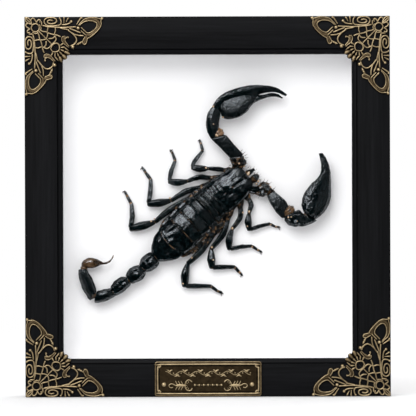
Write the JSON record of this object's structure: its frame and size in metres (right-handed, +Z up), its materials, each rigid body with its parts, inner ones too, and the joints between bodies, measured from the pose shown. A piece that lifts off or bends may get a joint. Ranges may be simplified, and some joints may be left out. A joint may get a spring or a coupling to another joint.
{
  "type": "framed scorpion specimen",
  "caption": "Dried black scorpion mounted on white card in a glazed black wooden shadow box with pierced brass corners and a blank brass nameplate.",
  "frame": {"origin": "middle of the underside of the bottom rail, on the surface that the case stands on, midway between its foremost and rearmost points", "axes": "+X to the right seen from the front, +Y from the glass towards the back, +Z up along the case"},
  "size_m": [0.1906, 0.0324, 0.1978],
  "materials": {
    "black_wood": "satin black stain over fine straight grain",
    "clear_glass": "clear polished pane",
    "white_card": "matt white card",
    "hardboard": "plain brown hardboard",
    "antique_brass": "antique brass, dark in the hollows and rubbed bright on the ridges",
    "zinc_steel": "zinc-plated steel",
    "black_cuticle": "glossy blue-black shell, wrinkled and granular",
    "brown_cuticle": "dark brown horn-like shell and dry skin"
  },
  "bodies": {
    "root": {"back_panel": "hardboard", "back_tab_bottom": "zinc_steel", "back_tab_left": "zinc_steel", "back_tab_right": "zinc_steel", "back_tab_top": "zinc_steel", "backing_board": "white_card", "belly": "brown_cuticle", "carapace": "black_cuticle", "corner_ornament_bottom_left": "antique_brass", "corner_ornament_bottom_right": "antique_brass", "corner_ornament_top_left": "antique_brass", "corner_ornament_top_right": "antique_brass", "glass_pane": "clear_glass", "hanger": "zinc_steel", "hanger_nail_left": "zinc_steel", "hanger_nail_right": "zinc_steel", "left_arm_base": "black_cuticle", "left_arm_femur": "black_cuticle", "left_arm_patella": "black_cuticle", "left_chelicera": "brown_cuticle", "left_claw": "black_cuticle", "left_claw_finger": "black_cuticle", "left_leg_1": "black_cuticle", "left_leg_2": "black_cuticle", "left_leg_3": "black_cuticle", "left_leg_4": "black_cuticle", "liner_bottom": "white_card", "liner_left": "white_card", "liner_right": "white_card", "liner_top": "white_card", "nameplate": "antique_brass", "nameplate_pin_left": "antique_brass", "nameplate_pin_right": "antique_brass", "rail_bottom": "black_wood", "rail_left": "black_wood", "rail_right": "black_wood", "rail_top": "black_wood", "right_arm_base": "black_cuticle", "right_arm_femur": "black_cuticle", "right_arm_patella": "black_cuticle", "right_chelicera": "brown_cuticle", "right_claw": "black_cuticle", "right_claw_finger": "black_cuticle", "right_leg_1": "black_cuticle", "right_leg_2": "black_cuticle", "right_leg_3": "black_cuticle", "right_leg_4": "black_cuticle", "tail_segment_1": "black_cuticle", "tail_segment_2": "black_cuticle", "tail_segment_3": "black_cuticle", "tail_segment_4": "black_cuticle", "tail_segment_5": "black_cuticle", "telson": "brown_cuticle", "tergite_1": "black_cuticle", "tergite_2": "black_cuticle", "tergite_3": "black_cuticle", "tergite_4": "black_cuticle", "tergite_5": "black_cuticle", "tergite_6": "black_cuticle", "tergite_7": "black_cuticle"}
  },
  "joints": []
}
